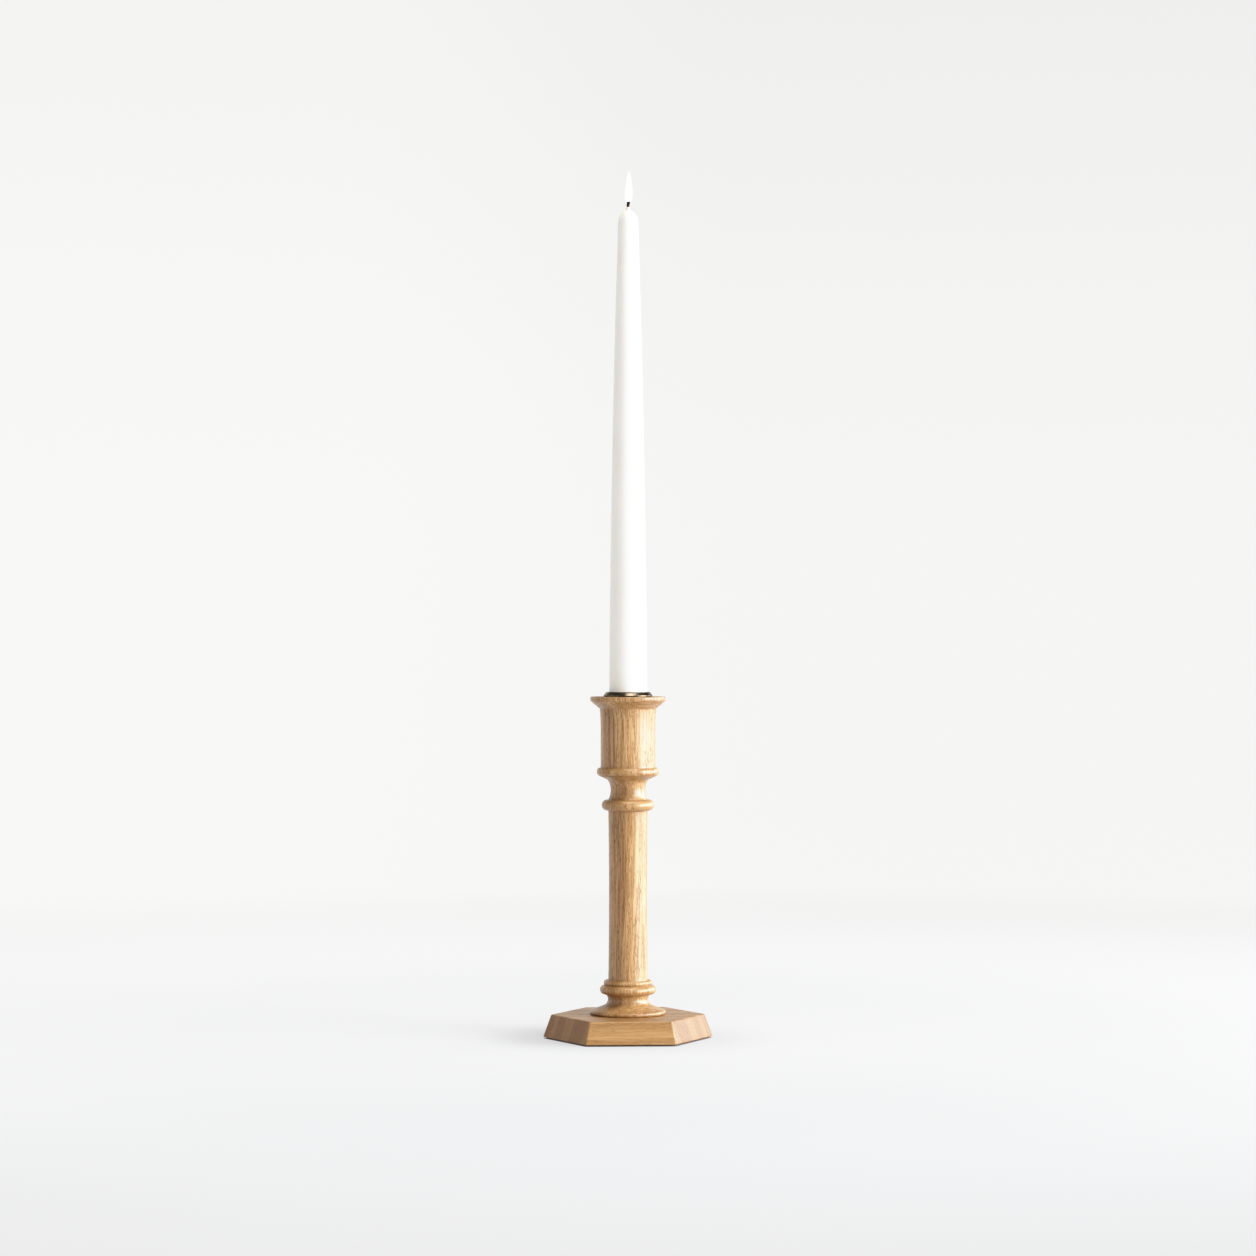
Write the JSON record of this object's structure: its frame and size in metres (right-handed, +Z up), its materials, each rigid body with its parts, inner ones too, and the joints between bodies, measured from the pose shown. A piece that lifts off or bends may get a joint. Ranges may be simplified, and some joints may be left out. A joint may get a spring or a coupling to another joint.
{
  "type": "candlestick",
  "caption": "Turned oak candlestick on a hexagonal plinth, with a brass cup lining its socket and a white taper candle that lifts out.",
  "frame": {"origin": "middle of the underside, on the surface that the felt pads stand on", "axes": "+Z up along the column and the candle; two of the plinth's corners lie on the X axis, so -Y faces a flat side"},
  "size_m": [0.099, 0.0862, 0.4909],
  "materials": {
    "oak_plinth": "oiled oak, satin",
    "oak_column": "oiled oak, satin, grain along the column",
    "dark_brass": "dark antique bronze, satin",
    "screw_brass": "plain brass",
    "screw_steel": "zinc plated",
    "felt": "dark felt",
    "wax": "white wax, slightly translucent",
    "wick": "braided cotton, charred at the tip"
  },
  "bodies": {
    "holder": {"base": "oak_plinth", "column": "oak_column", "candle_cup": "dark_brass", "cup_screw": "screw_brass", "base_screw": "screw_steel", "felt_pad_1": "felt", "felt_pad_2": "felt", "felt_pad_3": "felt", "felt_pad_4": "felt", "felt_pad_5": "felt", "felt_pad_6": "felt"},
    "candle": {"candle_wax": "wax", "candle_wick": "wick"}
  },
  "joints": [
    {"name": "candle_lift", "type": "slide", "parent": "holder", "child": "candle", "axis": [0, 0, 1], "range_m": [0, 0.03]}
  ]
}
